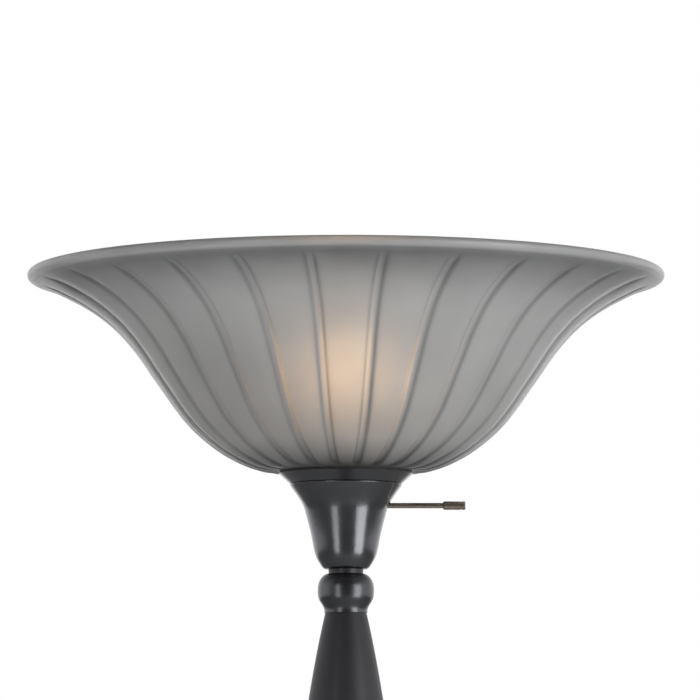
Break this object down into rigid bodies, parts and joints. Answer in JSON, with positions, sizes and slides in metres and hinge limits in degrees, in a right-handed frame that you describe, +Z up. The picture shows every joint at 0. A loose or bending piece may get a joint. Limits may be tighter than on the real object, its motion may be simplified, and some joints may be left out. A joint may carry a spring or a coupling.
{
  "type": "torchiere floor lamp",
  "caption": "Standing uplighter with a fluted frosted glass bowl above a flared cup, a turned column with vases and collars, and a wide weighted round base.",
  "frame": {"origin": "on the floor, on the column's axis, under the felt", "axes": "+Z up along the column; +X towards the switch knob; +Y towards the cord inlet at the back"},
  "size_m": [0.42, 0.42, 1.8],
  "materials": {
    "smoke_glass": "frosted smoke-grey moulded glass",
    "gunmetal_paint": "satin gunmetal lacquer",
    "charcoal_finish": "dark charcoal lacquer, low gloss",
    "charcoal_resin": "cast resin under dark charcoal lacquer",
    "gunmetal_resin": "cast resin under satin gunmetal lacquer",
    "antique_nickel": "turned antique nickel",
    "zinc_steel": "zinc plated",
    "brass": "drawn brass",
    "bulb_glass": "inside-frosted soft white glass",
    "clear_glass": "clear glass",
    "bulb_cap_metal": "rolled thread cap",
    "vitrite": "black glass insulator",
    "phenolic": "moulded phenolic",
    "fibre": "vulcanised fibre",
    "black_rubber": "moulded rubber",
    "cast_iron": "as cast",
    "felt": "pressed felt",
    "lead_insulation": "flexible insulation",
    "filament_wire": "drawn tungsten",
    "inlet_nylon": "moulded nylon"
  },
  "bodies": {
    "lamp": {"glass_shade": "smoke_glass", "shade_gasket": "black_rubber", "shade_washer": "fibre", "socket_shell": "brass", "socket_liner": "fibre", "socket_cap": "brass", "socket_set_screw": "zinc_steel", "switch_body": "phenolic", "switch_cover": "phenolic", "screw_shell": "brass", "centre_contact": "brass", "ring_contact": "brass", "terminal_screws": "brass", "socket_cup": "gunmetal_paint", "cup_washer": "zinc_steel", "cup_nut": "zinc_steel", "neck_spacer": "charcoal_finish", "neck_ball": "gunmetal_resin", "upper_vase": "charcoal_resin", "upper_collar": "gunmetal_resin", "upper_shaft": "charcoal_finish", "middle_ring": "gunmetal_resin", "lower_shaft": "charcoal_finish", "lower_collar": "gunmetal_resin", "lower_vase": "charcoal_resin", "foot_collar": "gunmetal_resin", "pedestal": "charcoal_resin", "base_cover": "charcoal_finish", "base_weight": "cast_iron", "base_felt": "felt", "base_washer": "zinc_steel", "base_nut": "zinc_steel", "cord_inlet": "inlet_nylon", "lower_rod": "zinc_steel", "middle_rod": "zinc_steel", "upper_rod": "zinc_steel", "rod_couplings": "zinc_steel", "rod_locknuts": "zinc_steel", "lead_live": "lead_insulation", "lead_neutral": "lead_insulation"},
    "switch_key": {"switch_knob": "antique_nickel", "switch_stem": "antique_nickel", "switch_rotor": "phenolic"},
    "bulb": {"bulb_globe": "bulb_glass", "bulb_screw_cap": "bulb_cap_metal", "bulb_insulator": "vitrite", "bulb_contacts": "bulb_cap_metal", "bulb_stem": "clear_glass", "bulb_filament": "filament_wire"},
    "shade_ring": {"shade_ring": "brass"}
  },
  "joints": [
    {"name": "switch_turn", "type": "hinge", "parent": "lamp", "child": "switch_key", "pos_m": [0, 0, 1.646], "axis": [1, 0, 0], "continuous": true},
    {"name": "bulb_unscrew", "type": "slide", "parent": "lamp", "child": "bulb", "axis": [0, 0, 1], "range_m": [0, 0.16]},
    {"name": "shade_ring_turn", "type": "hinge", "parent": "lamp", "child": "shade_ring", "pos_m": [0, 0, 1.676], "axis": [0, 0, 1], "range_deg": [0, 1080]}
  ]
}
